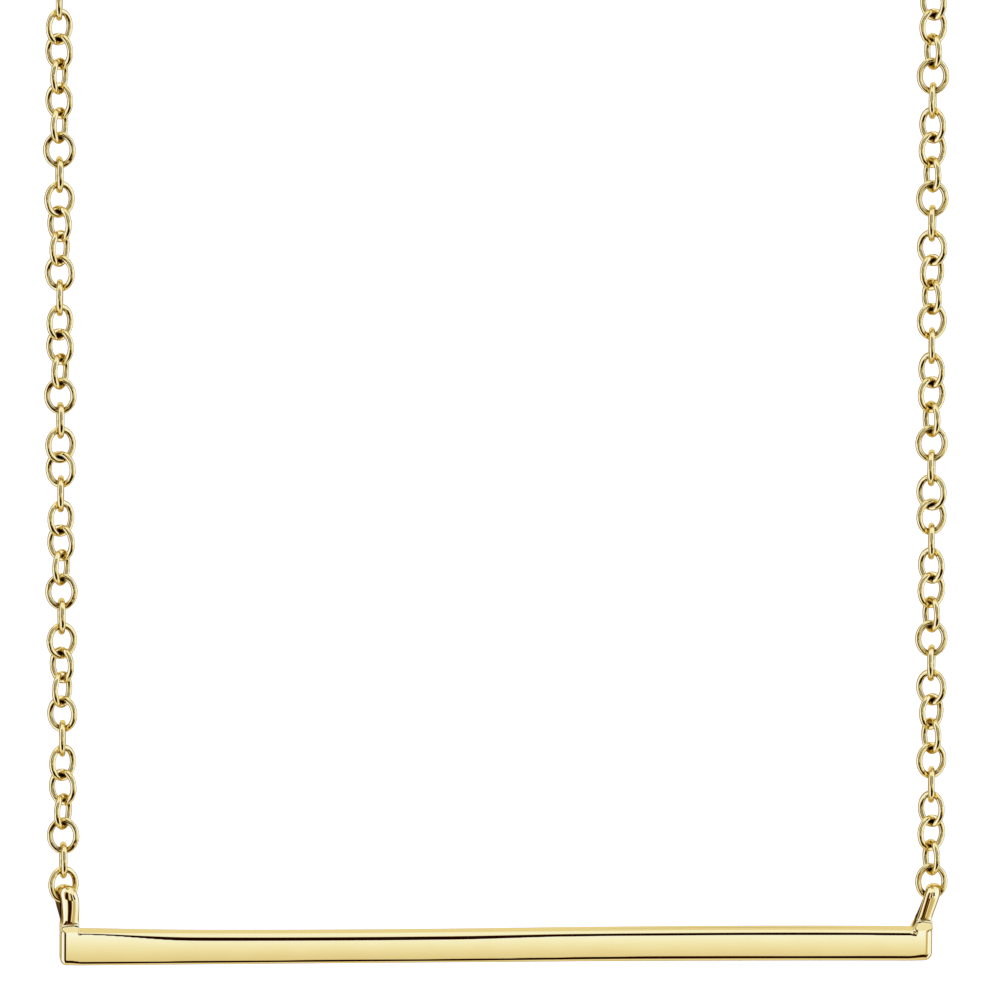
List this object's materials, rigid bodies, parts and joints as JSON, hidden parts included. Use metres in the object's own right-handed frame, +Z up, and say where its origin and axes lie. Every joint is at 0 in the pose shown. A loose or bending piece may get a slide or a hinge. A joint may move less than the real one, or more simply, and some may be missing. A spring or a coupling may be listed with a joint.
{
  "type": "bar pendant necklace",
  "caption": "Slim polished bar with an upright ear at each end, hung between the two ends of a fine cable chain that closes with a spring ring.",
  "frame": {"origin": "the hang point: the top of the loop's inside, under the middle of the clasp, where the necklace lies on a neck or a round peg", "axes": "+Z up along the hanging strands, the bar along X, the front of the bar towards -Y"},
  "size_m": [0.0342, 0.0052, 0.2056],
  "materials": {
    "polished_gold": "mirror polish, pale yellow gold",
    "chain_gold": "bright polished yellow gold wire",
    "clasp_gold": "bright polished yellow gold"
  },
  "bodies": {
    "necklace": {"chain_left": "chain_gold", "chain_right": "chain_gold", "chain_left_rear": "chain_gold", "chain_right_rear": "chain_gold", "jump_ring_left": "chain_gold", "jump_ring_right": "chain_gold", "clasp": "clasp_gold"},
    "pendant": {"bar": "polished_gold"}
  },
  "joints": [
    {"name": "bar_swing", "type": "hinge", "parent": "necklace", "child": "pendant", "pos_m": [0, 0, -0.20117], "axis": [1, 0, 0], "range_deg": [-90, 90]}
  ]
}
